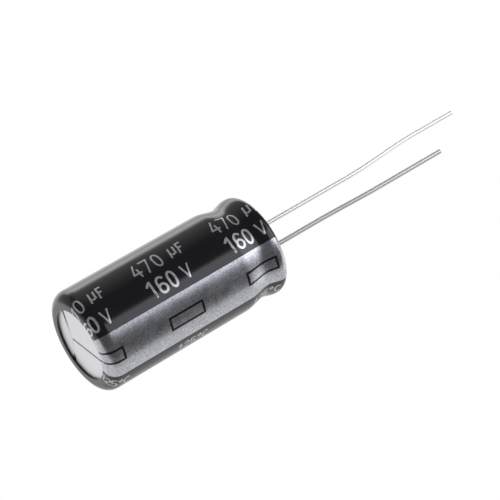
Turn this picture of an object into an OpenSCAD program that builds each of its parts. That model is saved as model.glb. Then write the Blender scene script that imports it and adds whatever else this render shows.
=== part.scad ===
// Radial electrolytic capacitor. It stands on its closed, vented end with both leads up.
// Z runs along the axis, from the closed end at 0 to the lead tips. The cathode lead is on -X,
// the anode lead on +X. Angles about the axis are measured from +X towards +Y.

/* [Case] */
// Outer diameter of the aluminium can
case_d = 12.5; // [12.2:0.1:14]
// Height of the aluminium can, closed face to curled edge
case_len = 25; // [24:0.5:35]
// Wall of the can
case_wall = 0.35; // [0.25:0.05:0.45]
// Outer radius of the corner at the closed end
corner_r = 1.15; // [0.8:0.05:1.4]
// Outer radius of the curl at the lead end
curl_r = 0.5; // [0.45:0.05:0.7]
// Width of the curled edge, from the can's side to its opening
curl_w = 1.1; // [1:0.05:1.4]

/* [Bead] */
// Depth of the rolled bead that grips the seal
bead_depth = 0.47; // [0.3:0.01:0.6]
// Distance of the bead's deepest line from the curled edge
bead_from_top = 2.5; // [2.3:0.05:3.2]
// Length of the slope on the can side of the bead
bead_slope_in = 2.8; // [2:0.1:3.2]
// How far the wall beyond the bead stays inside the full radius
flare_drop = 0.05; // [0:0.01:0.1]
// How far the print beyond the bead is drawn towards it
bead_pull = 0.25; // [0:0.05:0.4]
// How far the folded rim of the closed end drew the numerals up
fold_pull = 0.57; // [0:0.01:0.7]
// Height up to which the numerals were drawn up
fold_draw_z = 2.15; // [1.5:0.05:3]
// Length along the film over which that pull grows to its full size
fold_draw_len = 5; // [4:0.1:8]

/* [Vent] */
// Depth of the scored lines in the closed end
vent_depth = 0.1; // [0.05:0.01:0.15]
// Place of the point where the three scored lines meet
vent_centre = [2.15, -0.1];
// Directions of the three scored lines
vent_angles = [187, 86, 284];

/* [Sleeve] */
// Thickness of the shrunk film on the side
film_t = 0.15; // [0.1:0.05:0.25]
// Thickness of the film where it shrank most, over the two ends
film_lip_t = 0.3; // [0.2:0.05:0.4]
// Width of the film folded onto the closed end, from the can's side to the hole over the vent
film_fold_w = 1.77; // [1.5:0.02:2.2]
// Width of the film folded onto the curled edge, from the can's side to its hole
film_top_fold_w = 0.9; // [0.6:0.05:0.95]
// Thickness of the printed ink
ink_t = 0.02; // [0.01:0.01:0.04]

/* [Print] */
// Angle of the middle of the polarity stripe
stripe_angle = 176.3; // [160:0.1:200]
// Width of the stripe as an angle
stripe_span = 52.4; // [40:0.1:60]
// Distance from one repeat of the print to the next
print_pitch = 11.2; // [10.5:0.1:12]
// Film position where the middle repeat starts
print_start = 7.85; // [7.4:0.05:8.4]
// Height of the rating numerals
digit_h = 2.18; // [1.8:0.02:2.4]
// Line width of the capacitance line
thin_stroke = 0.22; // [0.14:0.01:0.24]
// Line width of the voltage line
bold_stroke = 0.29; // [0.24:0.01:0.34]
// Height of the capacitance's unit letters against the numerals
unit_scale = 0.76; // [0.6:0.01:0.9]
// Height of the voltage's unit letter against the numerals
volt_scale = 0.83; // [0.6:0.01:0.9]
// Distance from one numeral to the next
digit_step = 1.46; // [1.3:0.02:1.6]
// Extra distance from the last numeral of the capacitance to its first unit letter
unit_gap = 0.75; // [0.1:0.05:0.8]
// Extra distance from the last numeral of the voltage to its unit letter
volt_gap = 0.55; // [0.1:0.05:0.7]
// Distance from one unit letter to the next
letter_step = 1.05; // [1:0.05:1.4]
// Angle of the baseline of the capacitance line
capacitance_angle = 117.2; // [110:0.1:120]
// Angle of the baseline of the voltage line
voltage_angle = 144.5; // [140:0.1:148]
// Angle of the baseline of the temperature line
temperature_angle = 222.5; // [215:0.1:230]
// Height of the temperature numerals
small_digit_h = 1.5; // [1.1:0.1:1.6]
// Distance from one temperature numeral to the next
small_step = 0.92; // [0.85:0.01:1]
// Line width of the temperature line
small_stroke = 0.2; // [0.12:0.01:0.22]
// Distance from the start of the numerals to the first temperature numeral
small_start = 1.75; // [1.5:0.05:2]
// Distance from the start of the numerals to the start of a minus box
minus_lag = 0.75; // [0.4:0.05:1]
// Length of a minus box in the stripe
minus_len = 4.9; // [4:0.1:6]
// Height of a minus box as an angle
minus_span = 15.8; // [12:0.1:20]
// Line width of a minus box
minus_line = 0.26; // [0.15:0.01:0.3]

/* [Seal and leads] */
// Thickness of the rubber seal
seal_t = 4.7; // [4.4:0.1:5.2]
// Distance between the two leads
lead_pitch = 5; // [4.8:0.1:5.2]
// Diameter of a lead wire
lead_d = 0.6; // [0.5:0.05:0.8]
// Length of the anode lead beyond the seal
anode_len = 35.6; // [32:0.2:45]
// Length of the cathode lead beyond the seal
cathode_len = 28; // [24:0.2:35]
// Sideways step of the anode lead
anode_step = 1; // [0.4:0.1:1.5]
// Length over which the anode lead steps out
anode_step_len = 12; // [10:0.5:13]
// Straight tip of the anode lead after its step
anode_tip_len = 6.5; // [5:0.5:8]
// Sideways step of the cathode lead
cathode_step = 0.3; // [0.1:0.05:0.5]
// Length over which the cathode lead steps out
cathode_step_len = 10; // [8:0.5:11]
// Straight tip of the cathode lead after its step
cathode_tip_len = 10; // [8:0.5:12]
// Diameter of the aluminium boss that carries a lead through the seal
boss_d = 1.7; // [1.5:0.1:2]
// Rubber left above the boss
boss_cover = 0.7; // [0.5:0.1:1]
// Clearance round a lead in the seal
lead_clearance = 0.15; // [0.1:0.05:0.25]

/* [Wound element] */
// Thickness of the anode foil
anode_foil_t = 0.1; // [0.08:0.01:0.11]
// Thickness of the cathode foil
cathode_foil_t = 0.05; // [0.03:0.01:0.06]
// Thickness of one paper
paper_t = 0.05; // [0.04:0.01:0.06]
// Air between neighbouring layers
layer_gap = 0.0125; // [0.01:0.0005:0.014]
// Radius of the hole that the winding mandrel leaves
core_r = 1.55; // [1.4:0.05:1.6]
// Clearance that is left between the taped winding and the can
winding_clearance = 0.05; // [0.03:0.01:0.1]
// How far the papers stand past the foils at each end
paper_over = 0.9; // [0.6:0.1:1.2]
// Thickness of a connecting tab
tab_t = 0.2; // [0.15:0.01:0.22]
// Width of a connecting tab as an angle
tab_span = 42; // [30:1:50]
// Clearance at each face of a tab
tab_clearance = 0.03; // [0.02:0.01:0.05]
// Thickness of the tape round the element
tape_t = 0.05; // [0.04:0.01:0.06]
// Clearance between the element and the seal
element_clearance = 0.15; // [0.1:0.05:0.3]

/* [Hidden] */
// With this many facets a circle round the case sags by less than a tenth of the ink's thickness.
$fn = 180;

case_r = case_d / 2;
curl_inner_r = case_r - curl_w;
film_hole_r = case_r - film_fold_w;
film_top_hole_r = case_r - film_top_fold_w;
face_z = ink_t + film_lip_t;
top_z = face_z + case_len;
bead_z = top_z - bead_from_top;
bead_start_z = bead_z - bead_slope_in;
bead_end_z = top_z - curl_r;
flare_r = case_r - flare_drop;
seal_top_z = top_z - case_wall;
seal_bottom_z = seal_top_z - seal_t;
lead_x = lead_pitch / 2;
boss_top_z = seal_top_z - boss_cover;
corner_steps = 10;
bead_steps = 10;
curl_steps = 6;
reach = 1;
wire_sides = 16;
wire_rings = 14;
wire_skin = 0.0005;
wire_joint = 0.05;

// The can's outline

// Points are [radius, height, direction of the outward normal in degrees].
function smooth(t) = t * t * (3 - 2 * t);
function smooth_slope(t) = 6 * t * (1 - t);
function slope_point(z, from_r, to_r, from_z, to_z) =
    let (t = (z - from_z) / (to_z - from_z))
    let (slope = (to_r - from_r) * smooth_slope(t) / (to_z - from_z))
    [from_r + (to_r - from_r) * smooth(t), z, -atan(slope)];
function side_point(z) =
    z <= bead_start_z ? [case_r, z, 0]
    : z <= bead_z ? slope_point(z, case_r, case_r - bead_depth, bead_start_z, bead_z)
    : z <= bead_end_z ? slope_point(z, case_r - bead_depth, flare_r, bead_z, bead_end_z)
    : [flare_r, z, 0];
function arc_point(r, z, radius, angle) = [r + radius * cos(angle), z + radius * sin(angle), angle];

corner_points = [for (i = [0:corner_steps])
    arc_point(case_r - corner_r, face_z + corner_r, corner_r, -90 + 90 * i / corner_steps)];
bead_points = [for (i = [0:2 * bead_steps])
    side_point(i <= bead_steps ? bead_start_z + bead_slope_in * i / bead_steps
        : bead_z + (bead_end_z - bead_z) * (i - bead_steps) / bead_steps)];
curl_points = [for (i = [0:curl_steps])
    arc_point(flare_r - curl_r, top_z - curl_r, curl_r, 90 * i / curl_steps)];
wall_points = concat(corner_points, bead_points, curl_points);

function pushed(p, d) = [p[0] + d * cos(p[2]), p[1] + d * sin(p[2])];
function turn_in(p) = p[1] < face_z + corner_r ? -p[2] : p[1] > top_z - curl_r ? p[2] : 0;
function film_thickness(p) = film_t + (film_lip_t - film_t) * smooth(max(0, turn_in(p)) / 90);
film_points = concat([[film_hole_r, face_z, -90]], wall_points, [[film_top_hole_r, top_z, 90]]);
function film_line(points, extra) = [for (p = points) pushed(p, film_thickness(p) + extra)];
function reversed(list) = [for (i = [len(list) - 1:-1:0]) list[i]];
inner_wall_line = [for (p = wall_points) pushed(p, -case_wall)];

// Can, seal and sleeve

module score(angle) {
    // one V-shaped line pressed into the closed end, from the meeting point past the film's hole
    translate([vent_centre[0], vent_centre[1], face_z])
        rotate([0, 0, angle])
        rotate([45, 0, 0])
        translate([0, -vent_depth / sqrt(2), -vent_depth / sqrt(2)])
        cube([2 * film_hole_r, vent_depth * sqrt(2), vent_depth * sqrt(2)]);
}

module can() {
    // one deep-drawn cup: scored end, side wall, rolled bead and curled edge
    color("gainsboro")
    difference() {
        rotate_extrude()
            polygon(concat([[0, face_z]], [for (p = wall_points) pushed(p, 0)],
                [[curl_inner_r, top_z], [curl_inner_r, seal_top_z]],
                reversed(inner_wall_line), [[0, face_z + case_wall]]));
        intersection() {
            union() {
                for (angle = vent_angles)
                    score(angle);
            }
            cylinder(h = face_z + case_wall, r = case_r - corner_r);
        }
    }
}

seal_side = [for (p = wall_points) if (pushed(p, -case_wall)[1] > seal_bottom_z && p[2] < 90)
    pushed(p, -case_wall)];
module rubber_seal() {
    // a moulded plug squeezed by the bead, with a stepped hole for each lead
    color([0.13, 0.13, 0.13])
    difference() {
        rotate_extrude()
            polygon(concat([[0, seal_bottom_z], [pushed(side_point(seal_bottom_z), -case_wall)[0],
                seal_bottom_z]], seal_side, [[flare_r - curl_r, seal_top_z], [0, seal_top_z]]));
        for (side = [-1, 1])
            translate([side * lead_x, 0, 0]) {
                translate([0, 0, seal_bottom_z - reach])
                    cylinder(h = boss_top_z - seal_bottom_z + reach, d = boss_d);
                cylinder(h = top_z, d = lead_d + 2 * lead_clearance);
            }
    }
}

module sleeve() {
    // heat-shrunk film over the can, folded over both ends
    color([0.1, 0.1, 0.11])
    rotate_extrude()
        polygon(concat(film_line(film_points, 0), reversed([for (p = film_points) pushed(p, 0)])));
}

// Print on the film

function drawn_in(s) =
    s - bead_pull * smooth(min(1, max(0, (s - bead_start_z) / (bead_end_z - bead_start_z))));
function drawn_up(s) = s + fold_pull * smooth(min(1, max(0, (fold_draw_z - s) / fold_draw_len)));

// The ink leaves the film's flat rim at the lead end bare.
ink_points = concat([film_points[0]], wall_points);
module ink_shell(start, span) {
    // the layer just outside the film, over a part of the turn
    rotate([0, 0, start])
        rotate_extrude(angle = span)
        polygon(concat(film_line(ink_points, ink_t), reversed(film_line(ink_points, 0))));
}

module sector(start, span, from_z, to_z) {
    rotate([0, 0, start])
        rotate_extrude(angle = span)
        translate([film_hole_r - reach, from_z])
        square([case_r - film_hole_r + 2 * reach, to_z - from_z]);
}

line_angle = minus_line / (case_r + film_t) * 180 / PI;
minus_end = print_start + minus_lag + minus_len;
module minus_frame(film_end) {
    // the unprinted outline of one box; it fades over the edge of the film at the closed end
    z_end = drawn_in(film_end);
    z_start = max(drawn_in(film_end - minus_len), -reach);
    open_end = film_end - minus_len < 0;
    difference() {
        sector(stripe_angle - minus_span / 2, minus_span, z_start, z_end);
        sector(stripe_angle - minus_span / 2 + line_angle, minus_span - 2 * line_angle,
            open_end ? z_start - reach : z_start + minus_line, z_end - minus_line);
    }
}

module stripe_print() {
    // silver ink from the closed end to the lead end, with the boxes left open in it
    color([0.62, 0.62, 0.65])
    difference() {
        ink_shell(stripe_angle - stripe_span / 2, stripe_span);
        for (repeat = [-1:1])
            minus_frame(minus_end + repeat * print_pitch);
    }
}

// Glyphs are lists of strokes, and a stroke is [closed, points] in a box of height 1.
function arc(x, y, rx, ry, from, to, steps) =
    [for (i = [0:steps]) let (a = from + (to - from) * i / steps) [x + rx * cos(a), y + ry * sin(a)]];
function oval(x, y, rx, ry, straight, steps) =
    concat(arc(x, y + straight, rx, ry, 0, 180, steps), arc(x, y - straight, rx, ry, 180, 360, steps));
function line(points) = [false, points];
function loop(points) = [true, points];

glyph_0 = [loop(oval(0, 0.5, 0.19, 0.34, 0.1, 10))];
glyph_1 = [line([[0.1, 0], [0.1, 1]]), line([[-0.17, 0.72], [0.06, 0.93]])];
glyph_2 = [line(concat(arc(0, 0.72, 0.21, 0.21, 165, -35, 10), [[-0.2, 0.06]])),
    line([[-0.27, 0.06], [0.26, 0.06]])];
glyph_4 = [line([[0.07, 0.97], [-0.23, 0.3]]), line([[-0.27, 0.3], [0.28, 0.3]]),
    line([[0.11, 0], [0.11, 0.62]])];
glyph_5 = [line([[0.23, 0.94], [-0.18, 0.94]]), line([[-0.14, 0.96], [-0.18, 0.5]]),
    line(arc(-0.01, 0.31, 0.23, 0.24, 130, -150, 12))];
glyph_6 = [loop(arc(0, 0.3, 0.22, 0.24, 0, 342, 19)),
    line(concat(arc(0.02, 0.62, 0.24, 0.32, 35, 176, 8), [[-0.2, 0.32]]))];
glyph_7 = [line([[-0.26, 0.94], [0.26, 0.94]]), line([[0.21, 0.92], [-0.1, 0]])];
glyph_v = [line([[-0.285, 0.96], [0, 0.01]]), line([[0.285, 0.96], [0, 0.01]])];
glyph_f = [line([[-0.15, 0], [-0.15, 1]]), line([[-0.15, 0.95], [0.2, 0.95]]),
    line([[-0.15, 0.52], [0.14, 0.52]])];
glyph_micro = [line([[-0.26, -0.04], [-0.22, 0.88]]),
    line(concat([[-0.22, 0.44]], arc(-0.02, 0.38, 0.2, 0.18, 180, 340, 8), [[0.18, 0.88]])),
    line([[0.18, 0.88], [0.18, 0.19]])];
glyph_degree = [loop(arc(0, 0.8, 0.13, 0.14, 0, 345, 11))];
glyph_c = [line(arc(0, 0.5, 0.26, 0.42, 50, 310, 14))];

function unit(v) = v / norm(v);
function left_of(v) = [-v[1], v[0]];
function tangent(points, i, closed) =
    let (n = len(points))
    let (before = closed ? points[(i + n - 1) % n] : points[max(i - 1, 0)])
    let (after = closed ? points[(i + 1) % n] : points[min(i + 1, n - 1)])
    unit(after - before);
function stroke_side(points, closed, d) =
    [for (i = [0:len(points) - 1]) points[i] + d * left_of(tangent(points, i, closed))];
function slanted(points, size, slant) = [for (p = points) [p[0] + p[1] * tan(slant), p[1]] * size];

module stroke(closed, points, width) {
    left = stroke_side(points, closed, width / 2);
    right = stroke_side(points, closed, -width / 2);
    n = len(points);
    if (closed)
        polygon(concat(left, right), [[for (i = [0:n - 1]) i], [for (i = [n:2 * n - 1]) i]]);
    else
        polygon(concat(left, reversed(right)));
}

// A place on the film: its distance along the film counts from the closed face's tangent plane.
bend_r = corner_r + film_t;
bend_start = ink_t + bend_r;
function film_place(s) =
    let (turn = min(90, (bend_start - s) / bend_r * 180 / PI))
    s >= bend_start ? side_point(s)
    : turn < 90 ? arc_point(case_r - corner_r, face_z + corner_r, corner_r, -turn)
    : [case_r - corner_r - (bend_start - s - bend_r * PI / 2), face_z, -90];

module on_film(s, angle) {
    // stands a flat shape on the film, reading along the axis, with its top to the lower angle
    place = film_place(s);
    surface = pushed(place, film_thickness(place));
    rotate([0, 0, angle])
        translate([surface[0], 0, surface[1]])
        rotate([0, -place[2], 0])
        rotate([90, 0, 90])
        rotate([0, 0, 90])
        children();
}

module glyph(strokes, s, angle, size, width, slant) {
    on_film(s, angle)
        translate([0, 0, -reach / 2])
        linear_extrude(height = reach)
        for (part = strokes)
            stroke(part[0], slanted(part[1] - [for (p = part[1]) [0, 0.5]], size, slant), width);
}

module print_line(glyphs, base_angle, size) {
    // three repeats of a row of glyphs, each [strokes, position, relative size, slant, line width],
    // all centred on the row's middle line
    lift = size / 2 / (case_r + film_t) * 180 / PI;
    intersection() {
        ink_shell(base_angle - 3 * lift, 4 * lift);
        for (repeat = [-1:1])
            for (g = glyphs)
                let (s = drawn_up(drawn_in(print_start + g[1] + repeat * print_pitch)))
                if (s > bend_start - bend_r * PI / 2 - film_fold_w && s < top_z)
                    glyph(g[0], s, base_angle - lift, size * g[2], g[4], g[3]);
    }
}

function digit_at(i) = digit_step * (i + 0.4);
unit_at = digit_at(3) + unit_gap;
volt_at = digit_at(3) + volt_gap;
module rating_print() {
    // two rows of plain numerals with their units
    color([0.72, 0.72, 0.74]) {
        print_line([[glyph_4, digit_at(0), 1, 0, thin_stroke], [glyph_7, digit_at(1), 1, 0, thin_stroke],
            [glyph_0, digit_at(2), 1, 0, thin_stroke], [glyph_micro, unit_at, unit_scale, 9, thin_stroke],
            [glyph_f, unit_at + letter_step, unit_scale, 9, thin_stroke]],
            capacitance_angle, digit_h);
        print_line([[glyph_1, digit_at(0), 1, 0, bold_stroke], [glyph_6, digit_at(1), 1, 0, bold_stroke],
            [glyph_0, digit_at(2), 1, 0, bold_stroke], [glyph_v, volt_at, volt_scale, 0, thin_stroke]],
            voltage_angle, digit_h);
    }
}

module temperature_print() {
    // a smaller row beyond the other edge of the stripe
    color([0.72, 0.72, 0.74])
    print_line([for (i = [0:4])
        [[glyph_1, glyph_2, glyph_5, glyph_degree, glyph_c][i], small_start + i * small_step, 1, 0,
            small_stroke]],
        temperature_angle, small_digit_h);
}

// Wound element: four strips share one spiral, and the turns part round each tab

// The lower edge of the papers rests on the curve inside the can's corner.
element_bottom_z = face_z + case_wall + (corner_r - case_wall) / 2;
element_top_z = seal_bottom_z - element_clearance;
foil_bottom_z = element_bottom_z + paper_over;
foil_top_z = element_top_z - paper_over;
layer_pitch = anode_foil_t + cathode_foil_t + 2 * paper_t + 4 * layer_gap;
turn_steps = 24;
chord_sag = lead_x * (1 - cos(180 / turn_steps));
tab_room = tab_t + 2 * tab_clearance - layer_gap + layer_pitch * tab_span / 360 + chord_sag;
part_turn = 90;
bump_turn = 45;
tab_turns = floor((lead_x - core_r - tab_t / 2 - anode_foil_t) / layer_pitch);
anode_tab_angle = 360 * tab_turns;
cathode_tab_angle = anode_tab_angle + 180;

function bump(a, middle) = smooth(min(1, max(0, (a - middle) / bump_turn + 0.5)));
// A strip is [inner offset, thickness, angle where it clears the anode tab, the same for the cathode tab]
anode_strip = [0, anode_foil_t, anode_tab_angle + part_turn, cathode_tab_angle + part_turn];
inner_strip = [anode_foil_t + layer_gap, paper_t,
    anode_tab_angle - part_turn, cathode_tab_angle + part_turn];
cathode_strip = [inner_strip[0] + paper_t + layer_gap, cathode_foil_t,
    anode_tab_angle - part_turn, cathode_tab_angle + part_turn];
outer_strip = [cathode_strip[0] + cathode_foil_t + layer_gap, paper_t,
    anode_tab_angle - part_turn, cathode_tab_angle - part_turn];

function spiral_r(strip, a) = core_r + strip[0] + layer_pitch * a / 360
    + tab_room * (bump(a, strip[2]) + bump(a, strip[3]));
// The winding has as many half turns as leave room for the tape inside the can.
winding_room = case_r - case_wall - winding_clearance - core_r - 2 * tab_room - layer_pitch - tape_t;
turns = floor(2 * winding_room / layer_pitch) / 2;

function spiral_side(strip, from_a, to_a, extra) =
    [for (i = [0:turn_steps * (to_a - from_a) / 360])
        let (a = from_a + 360 * i / turn_steps)
        (spiral_r(strip, a) + extra) * [cos(a), sin(a)]];

module wound(strip, from_a, to_a, from_z, to_z) {
    translate([0, 0, from_z])
        linear_extrude(height = to_z - from_z)
        polygon(concat(spiral_side(strip, from_a, to_a, 0),
            reversed(spiral_side(strip, from_a, to_a, strip[1]))));
}

last_a = 360 * turns;
module anode_foil() {
    color([0.55, 0.55, 0.56])
    wound(anode_strip, 0, last_a, foil_bottom_z, foil_top_z);
}

module cathode_foil() {
    color([0.8, 0.8, 0.8])
    wound(cathode_strip, 0, last_a, foil_bottom_z, foil_top_z);
}

module separator_inner() {
    color([0.86, 0.8, 0.66])
    wound(inner_strip, 0, last_a, element_bottom_z, element_top_z);
}

module separator_outer() {
    color([0.86, 0.8, 0.66])
    wound(outer_strip, 0, last_a, element_bottom_z, element_top_z);
}

tape_strip = [outer_strip[0] + paper_t + layer_gap, tape_t, outer_strip[2], outer_strip[3]];
module element_tape() {
    // holds the last turn closed
    color([0.8, 0.72, 0.45])
    wound(tape_strip, last_a - 345, last_a, element_bottom_z + paper_over, element_top_z - paper_over);
}

// Tabs and leads

// A tab lies against the outer face of its own foil.
function tab_inner_r(strip, a) = spiral_r(strip, a + tab_span / 2) + strip[1] + tab_clearance;
boss_bottom_z = seal_bottom_z - element_clearance / 2;
module tab(inner_r, side_angle) {
    // a strip of aluminium bent round the winding, that ends in a round boss in the seal
    rotate([0, 0, side_angle - tab_span / 2])
        translate([0, 0, foil_bottom_z])
        rotate_extrude(angle = tab_span)
        translate([inner_r, 0])
        square([tab_t, seal_bottom_z - foil_bottom_z]);
    rotate([0, 0, side_angle])
        translate([lead_x, 0, boss_bottom_z])
        cylinder(h = boss_top_z - boss_bottom_z, d = boss_d);
}

module anode_tab() {
    color("silver")
    tab(tab_inner_r(anode_strip, anode_tab_angle), 0);
}

module cathode_tab() {
    color("silver")
    tab(tab_inner_r(cathode_strip, cathode_tab_angle), 180);
}

// The stretch that steps sideways is swept as a tube with flat sides, which just encloses the wire.
function ring(x, z, lean, r) = [for (i = [0:wire_sides - 1])
    let (a = 360 * i / wire_sides)
    [x + r * cos(a) * cos(lean), r * sin(a), z - r * cos(a) * sin(lean)]];
function ring_face(low, i) = [low + i, low + (i + 1) % wire_sides,
    low + wire_sides + (i + 1) % wire_sides, low + wire_sides + i];

module stepped_wire(step_out, step_len) {
    tube_r = (lead_d / 2 + wire_skin) / cos(180 / wire_sides);
    points = [for (k = [0:wire_rings])
        let (t = k / wire_rings)
        each ring(step_out * smooth(t), step_len * t,
            atan(step_out * smooth_slope(t) / step_len), tube_r)];
    faces = concat([[for (i = [0:wire_sides - 1]) i]],
        [for (k = [0:wire_rings - 1]) for (i = [0:wire_sides - 1])
            reversed(ring_face(k * wire_sides, i))],
        [[for (i = [wire_sides - 1:-1:0]) wire_rings * wire_sides + i]]);
    polyhedron(points, faces);
}

module lead(total, step_out, step_len, tip_len) {
    // straight from the boss, a gentle step outwards, then a straight tip
    step_z = seal_top_z + total - step_len - tip_len;
    translate([0, 0, boss_top_z])
        cylinder(h = step_z + wire_joint - boss_top_z, d = lead_d);
    translate([0, 0, step_z])
        stepped_wire(step_out, step_len);
    translate([step_out, 0, step_z + step_len - wire_joint])
        cylinder(h = tip_len + wire_joint, d = lead_d);
}

module anode_lead() {
    color([0.75, 0.75, 0.77])
    translate([lead_x, 0, 0])
        lead(anode_len, anode_step, anode_step_len, anode_tip_len);
}

module cathode_lead() {
    color([0.75, 0.75, 0.77])
    rotate([0, 0, 180])
        translate([lead_x, 0, 0])
        lead(cathode_len, cathode_step, cathode_step_len, cathode_tip_len);
}

sleeve();
stripe_print();
rating_print();
temperature_print();
can();
rubber_seal();
anode_foil();
cathode_foil();
separator_inner();
separator_outer();
element_tape();
anode_tab();
cathode_tab();
anode_lead();
cathode_lead();
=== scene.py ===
# %% [markdown]
# # A radial electrolytic capacitor
#
# The real part is an aluminium can that holds a wound element, closed by a rubber plug with two
# tinned wires through it. A black film is shrunk over the can, and a silver stripe and a few rows
# of numerals are printed on that film.
#
# The solids come ready made from the CAD model, so this lesson is about the finish. It replaces
# the film, the print and the wires by finer meshes of the same form, and it gives every other
# piece a material. The sizes below repeat the ones in the CAD source, in millimetres. Only the
# stripe's width and the line of its boxes differ a little, and a comment there says why.

# %% Load the frame
import math

import bmesh
import bpy
from mathutils import Matrix, Vector, geometry


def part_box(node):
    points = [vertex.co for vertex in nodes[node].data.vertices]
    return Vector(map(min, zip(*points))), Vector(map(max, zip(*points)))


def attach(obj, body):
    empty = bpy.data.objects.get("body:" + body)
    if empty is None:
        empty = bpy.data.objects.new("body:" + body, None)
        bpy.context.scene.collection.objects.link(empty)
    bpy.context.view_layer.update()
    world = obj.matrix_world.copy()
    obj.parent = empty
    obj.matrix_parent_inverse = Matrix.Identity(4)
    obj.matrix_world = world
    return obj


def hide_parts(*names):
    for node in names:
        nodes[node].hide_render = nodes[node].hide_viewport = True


MM = 0.001
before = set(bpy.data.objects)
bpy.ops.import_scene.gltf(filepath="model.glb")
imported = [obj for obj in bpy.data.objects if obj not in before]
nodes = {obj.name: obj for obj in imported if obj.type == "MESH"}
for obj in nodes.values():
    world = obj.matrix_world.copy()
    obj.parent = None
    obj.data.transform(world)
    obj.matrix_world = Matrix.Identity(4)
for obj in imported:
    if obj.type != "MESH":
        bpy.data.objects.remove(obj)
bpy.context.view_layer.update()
print("CAD nodes:", sorted(nodes))

# %% [markdown]
# ## Measure the frame
#
# What a box can tell isn't typed again. The can's box gives its radius and both of its ends, the
# sleeve's box gives the thickness of the film, and the stripe's box gives that of the ink.
# A box can't tell how round a corner is, so those sizes follow as named values.

# %% Sizes from the frame, in metres
can_low, can_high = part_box("can")
film_low, film_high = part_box("sleeve")
stripe_low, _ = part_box("stripe_print")
CASE_R = can_high.x
FACE_Z = can_low.z
TOP_Z = can_high.z
FILM_T = film_high.x - CASE_R
FILM_LIP_T = FACE_Z - film_low.z
INK_T = film_low.z - stripe_low.z
FILM_R = CASE_R + FILM_T
print(f"case radius {CASE_R / MM:.3f} mm, film {FILM_T / MM:.3f} mm, ink {INK_T / MM:.3f} mm")

# %% Sizes that a box can't tell
CORNER_R = 1.15 * MM
CURL_R = 0.5 * MM
FLARE_R = CASE_R - 0.05 * MM
BEAD_DEPTH = 0.47 * MM
BEAD_Z = TOP_Z - 2.5 * MM
BEAD_START_Z = BEAD_Z - 2.8 * MM
BEAD_END_Z = TOP_Z - CURL_R
BEAD_PULL = 0.25 * MM
FOLD_PULL = 0.57 * MM
FOLD_DRAW_Z = 2.15 * MM
FOLD_DRAW_LEN = 5 * MM
FILM_HOLE_R = CASE_R - 1.77 * MM
FILM_TOP_HOLE_R = CASE_R - 0.9 * MM

# %% [markdown]
# ## Set the camera
#
# The photograph looks at the closed end a little from below, with the leads pointing away to the
# upper right. A long lens keeps the can's sides nearly parallel. The camera is given by its
# place, the point that it aims at, and how far the can's axis leans from level in the picture.

# %% Camera
CAMERA_PLACE = Vector((-173.88, 116.82, -76.17)) * MM
CAMERA_AIM = Vector((-2.0308, 0.9393, 23.559)) * MM
AXIS_LEAN = math.radians(30.104)
LENS_MM = 140.59
SENSOR_MM = 36


def camera_turn(place, aim, lean):
    """The camera's axes: the part's own axis is drawn at the angle lean above the level."""
    view = (aim - place).normalized()
    along = (Vector((0, 0, 1)) - view * view.z).normalized()
    right = Matrix.Rotation(lean, 3, view) @ along
    up = right.cross(view)
    return Matrix((right, up, -view)).transposed()


camera_data = bpy.data.cameras.new("photo_camera")
camera_data.lens = LENS_MM
camera_data.sensor_width = SENSOR_MM
camera_data.clip_start = 0.001
camera = bpy.data.objects.new("photo_camera", camera_data)
camera.matrix_world = (Matrix.Translation(CAMERA_PLACE)
                       @ camera_turn(CAMERA_PLACE, CAMERA_AIM, AXIS_LEAN).to_4x4())
bpy.context.scene.collection.objects.link(camera)
bpy.context.scene.camera = camera
print("camera looks along", [round(v, 4) for v in (CAMERA_AIM - CAMERA_PLACE).normalized()])

# %% [markdown]
# ## Draw the film's line
#
# The film is a body of revolution, so one line in the plane of radius and height says it all:
# out over the folded rim of the closed end, round the corner, up the side, through the rolled
# bead and over the curl. Each point also knows which way its surface faces, so the same line can
# be pushed outwards by the thickness of the film. The film shrank most where it is folded over
# the two ends, and there it is twice as thick.

# %% Points of the can's wall
def smooth(t):
    return t * t * (3 - 2 * t)


def slope_point(z, from_r, to_r, from_z, to_z):
    t = (z - from_z) / (to_z - from_z)
    slope = (to_r - from_r) * 6 * t * (1 - t) / (to_z - from_z)
    return from_r + (to_r - from_r) * smooth(t), z, -math.atan(slope)


def side_point(z):
    """Radius, height and facing angle of the can's wall at the height z."""
    if z <= BEAD_START_Z or z >= BEAD_END_Z:
        return (CASE_R if z <= BEAD_START_Z else FLARE_R), z, 0.0
    if z <= BEAD_Z:
        return slope_point(z, CASE_R, CASE_R - BEAD_DEPTH, BEAD_START_Z, BEAD_Z)
    return slope_point(z, CASE_R - BEAD_DEPTH, FLARE_R, BEAD_Z, BEAD_END_Z)


def arc_point(r, z, radius, angle):
    return r + radius * math.cos(angle), z + radius * math.sin(angle), angle


def spread(low, high, steps):
    return [low + (high - low) * i / steps for i in range(steps + 1)]


# %% The film's line
CORNER_STEPS = 24
BEAD_STEPS = 36
CURL_STEPS = 14
SIDE_STEPS = 24


def wall_line():
    line = [arc_point(CASE_R - CORNER_R, FACE_Z + CORNER_R, CORNER_R, a)
            for a in spread(-math.pi / 2, 0, CORNER_STEPS)]
    line += [side_point(z) for z in spread(FACE_Z + CORNER_R, BEAD_START_Z, SIDE_STEPS)[1:]]
    line += [side_point(z) for z in spread(BEAD_START_Z, BEAD_END_Z, BEAD_STEPS)[1:]]
    return line + [arc_point(FLARE_R - CURL_R, TOP_Z - CURL_R, CURL_R, a)
                   for a in spread(0, math.pi / 2, CURL_STEPS)]


def film_thickness(point):
    """Plain on the side, growing to the full lip where the film is folded in over an end."""
    _, z, angle = point
    turned_in = -angle if z < FACE_Z + CORNER_R else angle if z > TOP_Z - CURL_R else 0.0
    return FILM_T + (FILM_LIP_T - FILM_T) * smooth(max(0.0, turned_in) / (math.pi / 2))


def pushed(point, distance):
    r, z, angle = point
    return r + distance * math.cos(angle), z + distance * math.sin(angle)


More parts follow.
